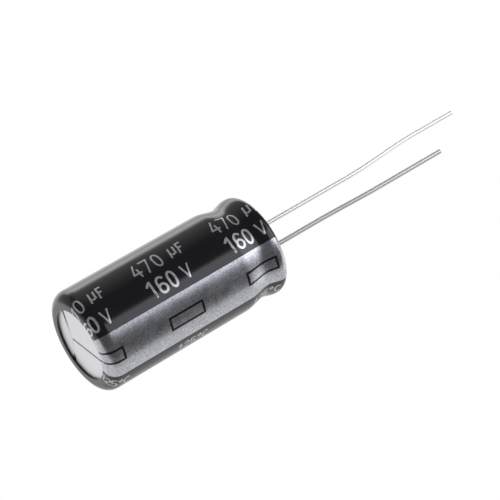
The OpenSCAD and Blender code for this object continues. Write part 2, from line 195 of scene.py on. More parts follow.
ink_wall = [(FILM_HOLE_R, FACE_Z, -math.pi / 2)] + wall_line()
film_wall = ink_wall + [(FILM_TOP_HOLE_R, TOP_Z, math.pi / 2)]
film_line = [pushed(p, film_thickness(p)) for p in film_wall]
print("the film's line has", len(film_line), "points")

# %% [markdown]
# Places on the film are told by a distance along this line. The numerals were laid out by the
# height on the side, so a small function turns that height into the distance. Below the corner
# the same distance simply runs on towards the hole. The rolled bead drew the film in a little,
# and the print beyond it moved with the film.

# %% Distances along the film
def running_length(line):
    total = [0.0]
    for a, b in zip(line, line[1:]):
        total.append(total[-1] + math.dist(a, b))
    return total


film_run = running_length(film_line)
SIDE_START = film_run[CORNER_STEPS + 1]
SIDE_START_Z = film_line[CORNER_STEPS + 1][1]
INK_END = film_run[len(ink_wall) - 1]


def film_x(height):
    """Distance along the film at a height on the side; lower values run on over the corner."""
    if height <= SIDE_START_Z:
        return SIDE_START - (SIDE_START_Z - height)
    for i in range(CORNER_STEPS + 1, len(film_line) - 1):
        low, high = film_line[i][1], film_line[i + 1][1]
        if height <= high:
            return film_run[i] + (film_run[i + 1] - film_run[i]) * (height - low) / (high - low)
    return film_run[-1]


def print_x(height):
    """The same for a place on the flat print, which the bead drew in."""
    t = (height - BEAD_START_Z) / (BEAD_END_Z - BEAD_START_Z)
    return film_x(height - BEAD_PULL * smooth(min(1.0, max(0.0, t))))


def drawn_up(height):
    """Where a numeral of the flat print lies, after the folded rim of the closed end drew it up."""
    t = (FOLD_DRAW_Z - height) / FOLD_DRAW_LEN
    return height + FOLD_PULL * smooth(min(1.0, max(0.0, t)))


print(f"film: {film_run[-1] / MM:.2f} mm along, side starts at {SIDE_START / MM:.2f} mm")

# %% [markdown]
# ## Helpers for meshes
#
# A few small helpers do what every piece needs. `mesh_object` makes an object from points and
# faces, `curve_object` makes a poly curve, and `baked` turns an object with modifiers into a
# plain mesh, because the exported model can't carry a live modifier or an instance.

# %% Mesh helpers
def link(obj):
    bpy.context.scene.collection.objects.link(obj)
    return obj


def mesh_object(name, points, faces):
    mesh = bpy.data.meshes.new(name)
    mesh.from_pydata(points, [], faces)
    mesh.validate()
    return link(bpy.data.objects.new(name, mesh))


def curve_object(name, points, closed=False):
    data = bpy.data.curves.new(name, "CURVE")
    data.dimensions = "3D"
    spline = data.splines.new("POLY")
    spline.points.add(len(points) - 1)
    for place, point in zip(points, spline.points):
        point.co = (*place, 1)
    spline.use_cyclic_u = closed
    return link(bpy.data.objects.new(name, data))


def baked(obj, name):
    """A plain mesh object of what obj looks like with its modifiers; obj itself goes."""
    graph = bpy.context.evaluated_depsgraph_get()
    mesh = bpy.data.meshes.new_from_object(obj.evaluated_get(graph), depsgraph=graph)
    mesh.name = name
    bpy.data.objects.remove(obj)
    return link(bpy.data.objects.new(name, mesh))


def triangles(obj):
    return sum(len(p.vertices) - 2 for p in obj.data.polygons)


# %% [markdown]
# A Geometry Nodes tree needs the same few calls each time: sockets on its outside, nodes, and
# links. `Tree` keeps those calls short. A modifier's inputs are set by the identifier of the
# socket, because two sockets may share a name.

# %% Node tree helper
class Tree:
    """A node tree with short calls for sockets, nodes and links."""

    def __init__(self, tree):
        self.tree = tree

    @classmethod
    def group(cls, name, kind, inputs, outputs):
        tree = bpy.data.node_groups.new(name, kind)
        for socket, label in inputs:
            tree.interface.new_socket(label, in_out="INPUT", socket_type="NodeSocket" + socket)
        for socket, label in outputs:
            tree.interface.new_socket(label, in_out="OUTPUT", socket_type="NodeSocket" + socket)
        made = cls(tree)
        made.start = made.add("NodeGroupInput").outputs
        made.end = made.add("NodeGroupOutput").inputs
        return made

    def add(self, kind, settings=None, **links):
        node = self.tree.nodes.new(kind)
        for key, value in (settings or {}).items():
            setattr(node, key, value)
        for key, value in links.items():
            self.plug(node.inputs[key.replace("_", " ")], value)
        return node

    def plug(self, socket, value):
        if isinstance(value, bpy.types.NodeSocket):
            self.tree.links.new(value, socket)
        else:
            socket.default_value = value

    def math(self, operation, *values):
        node = self.add("ShaderNodeMath", {"operation": operation})
        for socket, value in zip(node.inputs, values):
            self.plug(socket, value)
        return node.outputs[0]

    def vector(self, operation, *values):
        node = self.add("ShaderNodeVectorMath", {"operation": operation})
        for socket, value in zip(node.inputs, values):
            self.plug(socket, value)
        return node.outputs["Value" if operation in ("DOT_PRODUCT", "LENGTH") else "Vector"]


def grow(obj, tree, **values):
    """Puts a Geometry Nodes tree on obj, with its named inputs set."""
    modifier = obj.modifiers.new(tree.name, "NODES")
    modifier.node_group = tree
    for item in tree.interface.items_tree:
        key = item.name.lower().replace(" ", "_")
        if item.in_out == "INPUT" and key in values:
            modifier[item.identifier] = values[key]
    return obj


# %% [markdown]
# ## Shared surface effects
#
# Two effects return in many of the materials: grain, which is a slow wave with a fine one on
# it, and the sparkle of metal flakes in ink. Each is a shader group with its own inputs. A group
# gives back only masks, shades and heights, and the shader itself stays in each material.

# %% Shader groups
COARSE_SHARE = 0.6


def grain_group():
    """Two noises, one coarse and one fine: their mix is a mask round 0.5, the fine one a height."""
    tree = Tree.group("grain", "ShaderNodeTree",
                      [("Vector", "Place"), ("Float", "Coarse"), ("Float", "Fine")],
                      [("Float", "Mask"), ("Float", "Height")])
    coarse = tree.add("ShaderNodeTexNoise", Vector=tree.start["Place"], Scale=tree.start["Coarse"],
                      Detail=3.0)
    fine = tree.add("ShaderNodeTexNoise", Vector=tree.start["Place"], Scale=tree.start["Fine"],
                    Detail=2.0)
    mixed = tree.math("MULTIPLY_ADD", coarse.outputs["Fac"], COARSE_SHARE,
                      tree.math("MULTIPLY", fine.outputs["Fac"], 1 - COARSE_SHARE))
    tree.plug(tree.end["Mask"], mixed)
    tree.plug(tree.end["Height"], fine.outputs["Fac"])
    return tree.tree


def flake_group():
    """Metal flakes: every cell of a fine pattern gets its own shade."""
    tree = Tree.group("flakes", "ShaderNodeTree",
                      [("Vector", "Place"), ("Float", "Scale")],
                      [("Float", "Shade")])
    cells = tree.add("ShaderNodeTexVoronoi", Vector=tree.start["Place"], Scale=tree.start["Scale"])
    shade = tree.add("ShaderNodeSeparateColor", Color=cells.outputs["Color"])
    tree.plug(tree.end["Shade"], shade.outputs["Red"])
    return tree.tree


GRAIN = grain_group()
FLAKES = flake_group()
print("shader groups:", GRAIN.name, FLAKES.name)

# %% [markdown]
# Each material starts from the same place: a Principled shader, and Object coordinates that
# stay put on the piece. The finish is then added by the material's own function. The grain's
# mask seldom leaves the span from 0.3 to 0.7, so `roughen` stretches that span to the lowest and
# the highest roughness.

# %% Material helpers
MASK_LOW = 0.3
MASK_HIGH = 0.7


def shade_tree(name, base, roughness, metallic=0.0):
    """A new material: its tree, its Principled shader and its Object coordinates."""
    material = bpy.data.materials.new(name)
    material.use_nodes = True
    tree = Tree(material.node_tree)
    shader = material.node_tree.nodes["Principled BSDF"]
    shader.inputs["Base Color"].default_value = (*base, 1)
    shader.inputs["Roughness"].default_value = roughness
    shader.inputs["Metallic"].default_value = metallic
    place = tree.add("ShaderNodeTexCoord").outputs["Object"]
    return material, tree, shader, place


def use_group(tree, group, **links):
    node = tree.add("ShaderNodeGroup", {"node_tree": group})
    for key, value in links.items():
        tree.plug(node.inputs[key], value)
    return node.outputs


def to_range(tree, value, low, high, from_low, from_high):
    """Maps from_low..from_high to low..high, and holds the ends beyond it."""
    node = tree.add("ShaderNodeMapRange", Value=value)
    for key, number in (("From Min", from_low), ("From Max", from_high),
                        ("To Min", low), ("To Max", high)):
        tree.plug(node.inputs[key], number)
    return node.outputs["Result"]


def two_tone(tree, mask, first, second):
    """A colour from first, where the mask is 0, to second, where it is 1."""
    node = tree.add("ShaderNodeMix", {"data_type": "RGBA"})
    tree.plug(node.inputs[0], mask)
    for socket, colour in ((node.inputs[6], first), (node.inputs[7], second)):
        tree.plug(socket, (*colour, 1) if isinstance(colour, tuple) else colour)
    return node.outputs[2]


def two_values(tree, mask, first, second):
    """The same for a plain number."""
    node = tree.add("ShaderNodeMix", {"data_type": "FLOAT"})
    tree.plug(node.inputs[0], mask)
    tree.plug(node.inputs[2], first)
    tree.plug(node.inputs[3], second)
    return node.outputs[0]


def roughen(tree, shader, mask, low, high):
    """Varies the shader's roughness from low to high with the grain's mask."""
    tree.plug(shader.inputs["Roughness"], to_range(tree, mask, low, high, MASK_LOW, MASK_HIGH))


def bump(tree, shader, height, depth):
    """Feeds a height into the shader's normal; depth is the real relief in metres."""
    node = tree.add("ShaderNodeBump", Height=height, Distance=depth, Strength=1.0)
    tree.plug(shader.inputs["Normal"], node.outputs["Normal"])


def dress(obj, material):
    obj.data.materials.clear()
    obj.data.materials.append(material)


# %% [markdown]
# ## The shrunk film
#
# The sleeve is a tube of black PVC, printed flat, cut to length and shrunk by hot air. Up close
# it has a high gloss with a slow wave, where the film followed the can, and that wave is what
# makes a reflected lamp look soft and slightly bent instead of ruled.
#
# Being round, it could be spun from its line in edit mode. A tree called "lathe" does the same
# with named inputs: it sweeps the closed line round a circle with Curve to Mesh.

# %% Film material
def film_material():
    material, tree, shader, place = shade_tree("black_film", (0.0085, 0.0085, 0.0100),
                                              roughness=0.14)
    wave = use_group(tree, GRAIN, Place=place, Coarse=260.0, Fine=1500.0)
    roughen(tree, shader, wave["Mask"], low=0.11, high=0.17)
    bump(tree, shader, wave["Mask"], depth=0.004 * MM)
    return material


FILM = film_material()

# %% Lathe tree
LATHE_SIDES = 224


def lathe_tree():
    """Sweeps a closed line round an axis. The ring may have any radius, because the line is
    first moved in by as much.
    """
    tree = Tree.group("lathe", "GeometryNodeTree",
                      [("Geometry", "Line"), ("Int", "Sides"), ("Material", "Finish")],
                      [("Geometry", "Mesh")])
    ring = tree.add("GeometryNodeCurvePrimitiveCircle", Resolution=tree.start["Sides"],
                    Radius=FILM_R)
    moved = tree.add("GeometryNodeTransform", Geometry=tree.start["Line"],
                     Translation=(-FILM_R, 0, 0))
    swept = tree.add("GeometryNodeCurveToMesh", Curve=ring.outputs["Curve"])
    tree.plug(swept.inputs["Profile Curve"], moved.outputs["Geometry"])
    real = tree.add("GeometryNodeRealizeInstances", Geometry=swept.outputs["Mesh"])
    done = tree.add("GeometryNodeSetMaterial", Geometry=real.outputs["Geometry"],
                    Material=tree.start["Finish"])
    tree.plug(tree.end["Mesh"], done.outputs["Geometry"])
    return tree.tree


LATHE = lathe_tree()

# %% Turn the sleeve
SHARP_ANGLE = math.radians(40)
SAME_PLACE = 1e-8


def lathed(name, line, finish):
    """A closed line of (radius, height) turned round the Z axis."""
    curve = curve_object(name + "_line", [(r, -z, 0) for r, z in line], closed=True)
    return baked(grow(curve, LATHE, sides=LATHE_SIDES, finish=finish), name)


def tidy_normals(piece):
    """Merges doubles, points every face outwards and smooths all but the sharp edges."""
    work = bmesh.new()
    work.from_mesh(piece.data)
    bmesh.ops.remove_doubles(work, verts=work.verts, dist=SAME_PLACE)
    bmesh.ops.recalc_face_normals(work, faces=work.faces)
    for face in work.faces:
        face.smooth = True
    for edge in work.edges:
        edge.smooth = edge.calc_face_angle(0) < SHARP_ANGLE
    work.to_mesh(piece.data)
    work.free()
    return piece


sleeve_section = film_line + [(r, z) for r, z, _ in reversed(film_wall)]
sleeve = tidy_normals(lathed("shrunk_sleeve", sleeve_section, FILM))
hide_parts("sleeve")
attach(sleeve, "root")
print("sleeve:", triangles(sleeve), "triangles,", LATHE_SIDES, "sides")

# %% [markdown]
# ## Print that follows the film
#
# The stripe and the numerals are ink, two hundredths of a millimetre thick. They are drawn flat
# first, with x along the film, y round it and no height. A second tree, "wrap", then lays the
# flat drawing on the film: Sample Curve looks up the film's line at the distance x, and y turns
# the point about the axis. Solidify gives the ink its thickness at the end.

# %% Wrap tree
def wrap_tree():
    tree = Tree.group("wrap", "GeometryNodeTree",
                      [("Geometry", "Drawing"), ("Object", "Film line"), ("Float", "Start angle"),
                       ("Float", "Film radius"), ("Material", "Finish")],
                      [("Geometry", "Mesh")])
    line = tree.add("GeometryNodeObjectInfo", Object=tree.start["Film line"])
    position = tree.add("GeometryNodeInputPosition").outputs[0]
    flat = tree.add("ShaderNodeSeparateXYZ", Vector=position)
    found = tree.add("GeometryNodeSampleCurve", {"mode": "LENGTH", "use_all_curves": True},
                     Length=flat.outputs["X"])
    tree.plug(found.inputs["Curves"], line.outputs["Geometry"])
    turn = tree.math("SUBTRACT", tree.start["Start angle"],
                     tree.math("DIVIDE", flat.outputs["Y"], tree.start["Film radius"]))
    placed = tree.add("ShaderNodeVectorRotate", {"rotation_type": "Z_AXIS"},
                      Vector=found.outputs["Position"], Angle=turn)
    wrapped = tree.add("GeometryNodeSetPosition", Geometry=tree.start["Drawing"],
                       Position=placed.outputs[0])
    real = tree.add("GeometryNodeRealizeInstances", Geometry=wrapped.outputs["Geometry"])
    done = tree.add("GeometryNodeSetMaterial", Geometry=real.outputs["Geometry"],
                    Material=tree.start["Finish"])
    tree.plug(tree.end["Mesh"], done.outputs["Geometry"])
    return tree.tree


WRAP = wrap_tree()
film_curve = curve_object("film_line", [(r, 0, z) for r, z in film_line])

# %% Lay a flat drawing on the film
def printed(name, drawing, start_angle, finish):
    """A flat drawing laid on the film with its line y = 0 at an angle, and as thick as ink."""
    grow(drawing, WRAP, film_line=film_curve, start_angle=start_angle, film_radius=FILM_R,
         finish=finish)
    ink = drawing.modifiers.new("ink", "SOLIDIFY")
    ink.thickness = INK_T
    ink.offset = 1.0
    piece = tidy_normals(baked(drawing, name))
    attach(piece, "root")
    return piece


# %% [markdown]
# ## The polarity stripe
#
# The stripe marks the side of the negative lead. The ink holds fine aluminium flakes, so it is
# a rough metal that sparkles a little. Three boxes stand in it, drawn by leaving a thin outline
# open, through which the black film shows.
#
# The drawing is a grid. Its lines run exactly along the edges of the boxes, and the cells of an
# outline are left out, so each edge is clean without a boolean.

# %% Ink materials
FLAKE_SHARE = 0.55
INK_SWING = 0.05


def ink_material(name, base, metallic, roughness, spread_of_shade):
    """Ink with flakes; its shade and its roughness vary round the values given."""
    material, tree, shader, place = shade_tree(name, base, roughness, metallic)
    flakes = use_group(tree, FLAKES, Place=place, Scale=9000.0)
    cloud = use_group(tree, GRAIN, Place=place, Coarse=900.0, Fine=6000.0)
    mask = tree.math("MULTIPLY_ADD", flakes["Shade"], FLAKE_SHARE,
                     tree.math("MULTIPLY", cloud["Mask"], 1 - FLAKE_SHARE))
    dark = tuple(v * (1 - spread_of_shade) for v in base)
    pale = tuple(min(1.0, v * (1 + spread_of_shade)) for v in base)
    tree.plug(shader.inputs["Base Color"], two_tone(tree, mask, dark, pale))
    roughen(tree, shader, cloud["Mask"], low=roughness - INK_SWING, high=roughness + INK_SWING)
    bump(tree, shader, mask, depth=0.004 * MM)
    return material


SILVER_INK = ink_material("silver_ink", (0.51, 0.515, 0.555), metallic=0.97, roughness=0.30,
                          spread_of_shade=0.55)
PALE_INK = ink_material("pale_ink", (0.60, 0.60, 0.63), metallic=0.75, roughness=0.30,
                        spread_of_shade=0.25)
# The capacitance and temperature rows use darker copies of the same pale ink: painted shade.
PALE_INK_IN_SHADE = ink_material("dim_pale_ink", (0.52, 0.52, 0.55), metallic=0.75, roughness=0.30,
                       spread_of_shade=0.25)
PALE_INK_IN_DEEP_SHADE = ink_material("thin_pale_ink", (0.49, 0.49, 0.51), metallic=0.75, roughness=0.34,
                        spread_of_shade=0.3)

# %% Sizes of the stripe
# Two of these are the sizes that look right in the picture. The line of the boxes is 0.03 mm
# wider than in the CAD, because beside bright ink a thin dark line looks thinner than it is, and
# the stripe is 0.8 degrees narrower. The stripe's angle is that of its middle. REPEATS tells
# where the pattern of the print comes again, counted in pitches.
STRIPE_ANGLE = math.radians(176.3)
STRIPE_HALF = math.radians(51.6 / 2) * FILM_R
PRINT_PITCH = 11.2 * MM
PRINT_START = 7.85 * MM
MINUS_LEN = 4.9 * MM
MINUS_START = PRINT_START + 0.75 * MM
MINUS_HALF = math.radians(15.8 / 2) * FILM_R
MINUS_LINE = 0.29 * MM
GRID_STEP = 0.25 * MM
REPEATS = (-1, 0, 1)


# %% Draw the stripe flat
def between(marks, step):
    """Grid lines through every mark, with no cell wider than step."""
    lines = []
    marks = sorted(marks)
    for low, high in zip(marks, marks[1:]):
        lines += spread(low, high, max(1, math.ceil((high - low) / step)))[:-1]
    return lines + [marks[-1]]


def minus_boxes():
    """Outer edges of the boxes along the film; the lowest one runs off the film's edge."""
    boxes = []
    for repeat in REPEATS:
        end = MINUS_START + MINUS_LEN + repeat * PRINT_PITCH
        start = print_x(end - MINUS_LEN) if end > MINUS_LEN else None
        boxes.append((start, print_x(end)))
    return boxes


def in_outline(x, y, boxes):
    """True where a box's open outline leaves the stripe unprinted."""
    for start, end in boxes:
        low = -1.0 if start is None else start
        if low < x < end and abs(y) < MINUS_HALF:
            inner_low = -1.0 if start is None else start + MINUS_LINE
            inside = inner_low < x < end - MINUS_LINE and abs(y) < MINUS_HALF - MINUS_LINE
            return not inside
    return False


def stripe_drawing():
    boxes = minus_boxes()
    x_marks = {0.0, INK_END}
    for start, end in boxes:
        x_marks |= {end, end - MINUS_LINE}
        x_marks |= set() if start is None else {start, start + MINUS_LINE}
    y_marks = {-STRIPE_HALF, STRIPE_HALF}
    for edge in (MINUS_HALF, MINUS_HALF - MINUS_LINE):
        y_marks |= {-edge, edge}
    xs, ys = between(x_marks, GRID_STEP), between(y_marks, GRID_STEP)
    points = [(x, y, 0) for x in xs for y in ys]
    faces = []
    for i in range(len(xs) - 1):
        for j in range(len(ys) - 1):
            if not in_outline((xs[i] + xs[i + 1]) / 2, (ys[j] + ys[j + 1]) / 2, boxes):
                at = i * len(ys) + j
                faces.append((at, at + len(ys), at + len(ys) + 1, at + 1))
    return mesh_object("stripe_drawing", points, faces)


# %% Print the stripe
def drop_loose(piece):
    """Takes away the points that no face uses."""
    work = bmesh.new()
    work.from_mesh(piece.data)
    loose = [v for v in work.verts if not v.link_faces]
    bmesh.ops.delete(work, geom=loose, context="VERTS")
    work.to_mesh(piece.data)
    work.free()
    return piece


stripe = printed("polarity_stripe", drop_loose(stripe_drawing()), STRIPE_ANGLE, SILVER_INK)
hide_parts("stripe_print")
print("stripe:", triangles(stripe), "triangles")

# %% [markdown]
# ## The numerals
#
# Every character is a few strokes of one width, as a printing plate for such small marks has
# them. A stroke becomes a chain of four-sided tiles, and `delaunay_2d_cdt` melts the tiles of all
# strokes, a window that cuts off what would pass the film's edge, and a loose grid of points into
# one flat sheet of small triangles. A text object would be quicker, but its triangles are long
# and would cut through the round film.

# %% Stroke lists
def arc(x, y, rx, ry, start, end, steps):
    turns = spread(math.radians(start), math.radians(end), steps)
    return [(x + rx * math.cos(a), y + ry * math.sin(a)) for a in turns]


def oval(x, y, rx, ry, straight, steps):
    upper = arc(x, y + straight, rx, ry, 0, 180, steps)
    return upper + arc(x, y - straight, rx, ry, 180, 360, steps)


# Each stroke tells whether it is closed, and then its points. A character's height is 1, its
# foot is at y = 0 and its middle is at x = 0.
GLYPHS = {
    "0": [(True, oval(0, 0.5, 0.19, 0.34, 0.1, 18))],
    "1": [(False, [(0.1, 0), (0.1, 1)]), (False, [(-0.17, 0.72), (0.06, 0.93)])],
    "2": [(False, arc(0, 0.72, 0.21, 0.21, 165, -35, 16) + [(-0.2, 0.06)]),
          (False, [(-0.27, 0.06), (0.26, 0.06)])],
    "4": [(False, [(0.07, 0.97), (-0.23, 0.3)]), (False, [(-0.27, 0.3), (0.28, 0.3)]),
          (False, [(0.11, 0), (0.11, 0.62)])],
    "5": [(False, [(0.23, 0.94), (-0.18, 0.94)]), (False, [(-0.14, 0.96), (-0.18, 0.5)]),
          (False, arc(-0.01, 0.31, 0.23, 0.24, 130, -150, 18))],
    "6": [(True, arc(0, 0.3, 0.22, 0.24, 0, 350, 35)),
          (False, arc(0.02, 0.62, 0.24, 0.32, 35, 176, 14) + [(-0.2, 0.32)])],
    "7": [(False, [(-0.26, 0.94), (0.26, 0.94)]), (False, [(0.21, 0.92), (-0.1, 0)])],
    "V": [(False, [(-0.285, 0.96), (0, 0.01)]), (False, [(0.285, 0.96), (0, 0.01)])],
    "F": [(False, [(-0.15, 0), (-0.15, 1)]), (False, [(-0.15, 0.95), (0.2, 0.95)]),
          (False, [(-0.15, 0.52), (0.14, 0.52)])],
    "micro": [(False, [(-0.26, -0.04), (-0.22, 0.88)]),
              (False, [(-0.22, 0.44)] + arc(-0.02, 0.38, 0.2, 0.18, 180, 340, 12)
               + [(0.18, 0.88)]),
              (False, [(0.18, 0.88), (0.18, 0.19)])],
    "degree": [(True, arc(0, 0.8, 0.13, 0.14, 0, 345, 15))],
    "C": [(False, arc(0, 0.5, 0.26, 0.42, 50, 310, 20))],
}
print("glyphs:", " ".join(GLYPHS))

# %% From strokes to tiles
def side_points(points, closed, distance):
    """The points moved sideways by a distance, square to the stroke's direction there."""
    moved = []
    count = len(points)
    for i, (x, y) in enumerate(points):
        before = points[i - 1] if closed else points[max(i - 1, 0)]
        after = points[(i + 1) % count] if closed else points[min(i + 1, count - 1)]
        step = Vector(after) - Vector(before)
        step.normalize()
        moved.append((x - distance * step.y, y + distance * step.x))
    return moved


def stroke_tiles(closed, points, width):
    left = side_points(points, closed, width / 2)
    right = side_points(points, closed, -width / 2)
    count = len(points)
    pairs = [(i, (i + 1) % count) for i in range(count if closed else count - 1)]
    return [(right[i], right[j], left[j], left[i]) for i, j in pairs]


def glyph_tiles(glyph, x, middle, size, width, slant):
    """The tiles of one character round the point x, middle."""
    tiles = []
    for closed, points in GLYPHS[glyph]:
        shape = [(x + (px + (py - 0.5) * math.tan(slant)) * size, middle + (py - 0.5) * size)
                 for px, py in points]
        tiles += stroke_tiles(closed, shape, width)
    return tiles


# %% Melt the tiles into one flat sheet
WINDOW_BELOW = 1 * MM
WINDOW_ABOVE = 5 * MM
MELT_TOLERANCE = 1e-5


def grid_points(tiles, step):
    """A loose grid over the tiles, so that no triangle of the sheet gets long."""
    xs = [p[0] for tile in tiles for p in tile]
    ys = [p[1] for tile in tiles for p in tile]
    columns = spread(min(xs), max(xs), max(1, round((max(xs) - min(xs)) / step)))
    rows = spread(min(ys), max(ys), max(1, round((max(ys) - min(ys)) / step)))
    return [(x, y) for x in columns for y in rows]


def melted(tiles, low, high):
    """Points and triangles of the tiles' union, cut to the film between x = low and x = high."""
    scale = 1 / MM
    window = [(low, -WINDOW_BELOW), (high, -WINDOW_BELOW), (high, WINDOW_ABOVE),
              (low, WINDOW_ABOVE)]
    points = [Vector(p) * scale for polygon in [window] + tiles for p in polygon]
    faces = [tuple(range(4 * i, 4 * i + 4)) for i in range(len(tiles) + 1)]
    points += [Vector(p) * scale for p in grid_points(tiles, GRID_STEP)]
    result = geometry.delaunay_2d_cdt(points, [], faces, 1, MELT_TOLERANCE)
    kept = [face for face, source in zip(result[2], result[5]) if 0 in source and len(source) > 1]
    return [(p.x / scale, p.y / scale, 0) for p in result[0]], kept


# %% Rows of characters
DIGIT_H = 2.18 * MM
DIGIT_STEP = 1.46 * MM
FIRST_DIGIT = 0.4
THIN = 0.22 * MM
BOLD = 0.29 * MM


def digit_at(i):
    """Where the middle of digit i lies along a large row."""
    return DIGIT_STEP * (i + FIRST_DIGIT)


UNIT_SCALE = 0.76
UNIT_SLANT = math.radians(9)
UNIT_AT = digit_at(3) + 0.75 * MM
LETTER_STEP = 1.05 * MM
VOLT_SCALE = 0.83
VOLT_AT = digit_at(3) + 0.55 * MM
SMALL_H = 1.5 * MM
SMALL_STEP = 0.92 * MM
SMALL_START = 1.75 * MM
SMALL_LINE = 0.2 * MM

# Each entry is a glyph, its place in the row, its size against the row's, slant and line width.
CAPACITANCE_ROW = [(g, digit_at(i), 1, 0, THIN) for i, g in enumerate("470")]
CAPACITANCE_ROW += [("micro", UNIT_AT, UNIT_SCALE, UNIT_SLANT, THIN),
                    ("F", UNIT_AT + LETTER_STEP, UNIT_SCALE, UNIT_SLANT, THIN)]
VOLTAGE_ROW = [(g, digit_at(i), 1, 0, BOLD) for i, g in enumerate("160")]
VOLTAGE_ROW += [("V", VOLT_AT, VOLT_SCALE, 0, THIN)]
TEMPERATURE_ROW = [(g, SMALL_START + i * SMALL_STEP, 1, 0, SMALL_LINE)
                   for i, g in enumerate(["1", "2", "5", "degree", "C"])]


def row_drawing(name, row, height):
    """Three repeats of a row along the film, melted character by character."""
    points, faces = [], []
    for repeat in REPEATS:
        for glyph, at, scale, slant, width in row:
            x = print_x(drawn_up(PRINT_START + at + repeat * PRINT_PITCH))
            tiles = glyph_tiles(glyph, x, height / 2, height * scale, width, slant)
            places, triangles_of = melted(tiles, 0.0, INK_END)
            faces += [tuple(i + len(points) for i in face) for face in triangles_of]
            points += places
    return drop_loose(mesh_object(name, points, faces))


# %% Print the rows
# The angles say where the foot of each row stands round the can.
CAPACITANCE_ANGLE = math.radians(117.2)
VOLTAGE_ANGLE = math.radians(144.5)
TEMPERATURE_ANGLE = math.radians(222.5)


def print_row(name, row, base_angle, height, ink):
    return printed(name, row_drawing(name + "_drawing", row, height), base_angle, ink)


capacitance = print_row("capacitance_row", CAPACITANCE_ROW, CAPACITANCE_ANGLE, DIGIT_H, PALE_INK_IN_SHADE)
voltage = print_row("voltage_row", VOLTAGE_ROW, VOLTAGE_ANGLE, DIGIT_H, PALE_INK)
temperature = print_row("temperature_row", TEMPERATURE_ROW, TEMPERATURE_ANGLE, SMALL_H, PALE_INK_IN_DEEP_SHADE)
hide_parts("rating_print")
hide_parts("rating_print")
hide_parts("temperature_print")
for row in (capacitance, voltage, temperature):
    print(row.name, triangles(row), "triangles")
bpy.data.objects.remove(film_curve)

# %% [markdown]
# ## The leads
#
# Each lead is copper-clad steel wire, drawn and tinned. The negative one gets a darker copy of the
# same finish. Each leaves the seal straight, steps gently sideways and runs on straight. A curve
# with a bevel would draw it, and so does a small tree that sweeps a circle along the path, with the
# diameter as a named input.

# %% Wire material
def wire_material(name, dark, pale):
    material, tree, shader, place = shade_tree(name, pale, roughness=0.32, metallic=0.6)
    stretch = tree.add("ShaderNodeMapping", Vector=place, Scale=(1.0, 1.0, 0.12))
    drawn = use_group(tree, GRAIN, Place=stretch.outputs[0], Coarse=3000.0, Fine=14000.0)
    tree.plug(shader.inputs["Base Color"], two_tone(tree, drawn["Mask"], dark, pale))
    roughen(tree, shader, drawn["Mask"], low=0.27, high=0.37)
    bump(tree, shader, drawn["Height"], depth=0.001 * MM)
    return material


BRIGHT_WIRE = wire_material("bright_tinned_wire", (0.82, 0.82, 0.83), (0.90, 0.90, 0.91))
# The negative lead gets a darker copy of the same tinned finish.
DARKER_WIRE = wire_material("dull_tinned_wire", (0.48, 0.48, 0.48), (0.60, 0.60, 0.60))

# %% Wire tree
def wire_tree():
    tree = Tree.group("wire", "GeometryNodeTree",
                      [("Geometry", "Path"), ("Float", "Diameter"), ("Int", "Sides"),
                       ("Material", "Finish")],
                      [("Geometry", "Mesh")])
    radius = tree.math("DIVIDE", tree.start["Diameter"], 2.0)
    ring = tree.add("GeometryNodeCurvePrimitiveCircle", Resolution=tree.start["Sides"],
                    Radius=radius)
    swept = tree.add("GeometryNodeCurveToMesh", Curve=tree.start["Path"])
    tree.plug(swept.inputs["Profile Curve"], ring.outputs["Curve"])
    tree.plug(swept.inputs["Fill Caps"], True)
    real = tree.add("GeometryNodeRealizeInstances", Geometry=swept.outputs["Mesh"])
    done = tree.add("GeometryNodeSetMaterial", Geometry=real.outputs["Geometry"],
                    Material=tree.start["Finish"])
    tree.plug(tree.end["Mesh"], done.outputs["Geometry"])
    return tree.tree


WIRE_TREE = wire_tree()

# %% Sweep both leads
LEAD_X = 2.5 * MM
STEP_POINTS = 40
WIRE_SIDES = 28


def lead(name, node, finish, side, step_out, step_len, tip_len):
    """One lead, from its weld inside the seal to its tip; side is 1 or -1."""
    low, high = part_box(node)
    diameter = high.y - low.y
    step_z = high.z - tip_len - step_len
    path = [(side * LEAD_X, 0, low.z)]
    path += [(side * (LEAD_X + step_out * smooth(t)), 0, step_z + step_len * t)
             for t in spread(0, 1, STEP_POINTS)]
    path.append((side * (LEAD_X + step_out), 0, high.z))
    curve = grow(curve_object(name + "_path", path), WIRE_TREE, diameter=diameter,
                 sides=WIRE_SIDES, finish=finish)
    piece = tidy_normals(baked(curve, name))
    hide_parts(node)
    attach(piece, "root")
    print(name, triangles(piece), "triangles, diameter", round(diameter / MM, 3), "mm")


lead("positive_lead", "anode_lead", BRIGHT_WIRE, side=1, step_out=1 * MM, step_len=12 * MM,
     tip_len=6.5 * MM)
lead("negative_lead", "cathode_lead", DARKER_WIRE, side=-1, step_out=0.3 * MM, step_len=10 * MM,
     tip_len=10 * MM)

# %% [markdown]
# ## The can, the seal and what is inside
#
# These solids have their right shape already, so they only get materials. The can is satin
# aluminium, and shade is painted along its scored lines, most of it near the rim, found by the
# distance from each line. The rest is hidden in daily use, but each piece still looks like what it
# is when the can is taken apart.

# %% Where the scored lines run
# The lines meet at VENT. Each is told by its direction in degrees, where its shade starts and
# is full along it, half the shade's width, and how dark it is. The shade is full over
# FULL_SHARE of that half width and fades over the rest.
VENT = (2.15 * MM, -0.1 * MM)
SCORES = [(187, 0.0, 0.15 * MM, 0.20 * MM, 0.66), (86, 0.9 * MM, 2.8 * MM, 0.27 * MM, 0.92),
          (284, 2.35 * MM, 2.9 * MM, 0.32 * MM, 0.98)]
FULL_SHARE = 0.45


